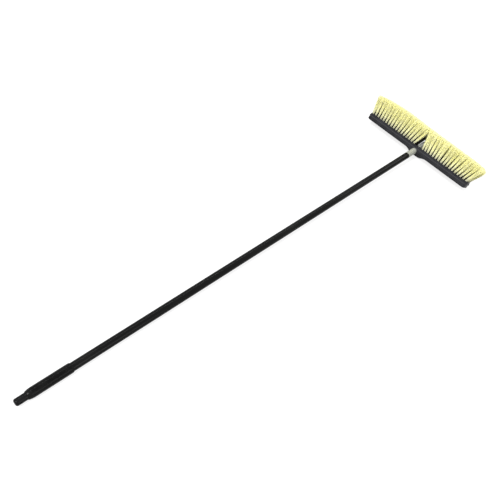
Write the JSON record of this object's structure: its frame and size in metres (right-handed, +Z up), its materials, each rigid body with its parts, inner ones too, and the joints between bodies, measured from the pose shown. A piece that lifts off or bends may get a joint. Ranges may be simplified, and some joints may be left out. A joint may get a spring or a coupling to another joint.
{
  "type": "snow broom",
  "caption": "Long-handled snow broom: a straight bristle head that screws onto a tubular handle with a ribbed grip and a hang tail.",
  "frame": {"origin": "middle of the bounding box in X and Y, on the floor that the broom lies on", "axes": "+Y along the floor from the grip towards the head, +Z up, +X along the head to the right of someone holding the grip"},
  "size_m": [0.4635, 1.662, 0.1186],
  "materials": {
    "block": "moulded, fine satin grain",
    "bristle": "pale yellow synthetic filament",
    "tip": "satin, bare",
    "tube": "gloss black powder coat",
    "grip": "satin black",
    "cap": "satin black"
  },
  "bodies": {
    "head": {"head_block": "block", "bristles_row1_left_outer": "bristle", "bristles_row1_left_inner": "bristle", "bristles_row1_right_outer": "bristle", "bristles_row1_right_inner": "bristle", "bristles_row2_left_outer": "bristle", "bristles_row2_left_inner": "bristle", "bristles_row2_right_outer": "bristle", "bristles_row2_right_inner": "bristle", "bristles_row3_left_outer": "bristle", "bristles_row3_left_inner": "bristle", "bristles_row3_right_outer": "bristle", "bristles_row3_right_inner": "bristle", "bristles_row4_left_outer": "bristle", "bristles_row4_left_inner": "bristle", "bristles_row4_right_outer": "bristle", "bristles_row4_right_inner": "bristle", "bristles_row5_left_outer": "bristle", "bristles_row5_left_inner": "bristle", "bristles_row5_right_outer": "bristle", "bristles_row5_right_inner": "bristle"},
    "carriage": {"tip_collar": "tip"},
    "handle": {"threaded_tip": "tip", "handle_tube": "tube", "grip_sleeve": "grip", "end_cap": "cap"}
  },
  "joints": [
    {"name": "handle_travel", "type": "slide", "parent": "head", "child": "carriage", "axis": [0, -0.9999, -0.013], "range_m": [0, 0.06096]},
    {"name": "handle_turn", "type": "hinge", "parent": "carriage", "child": "handle", "pos_m": [0, 0.68593, 0.03221], "axis": [0, -0.9999, -0.013], "range_deg": [0, 4321]}
  ],
  "couplings": [
    {"joint": "handle_turn", "follows": "handle_travel", "rad_per_m": 1236.8}
  ]
}
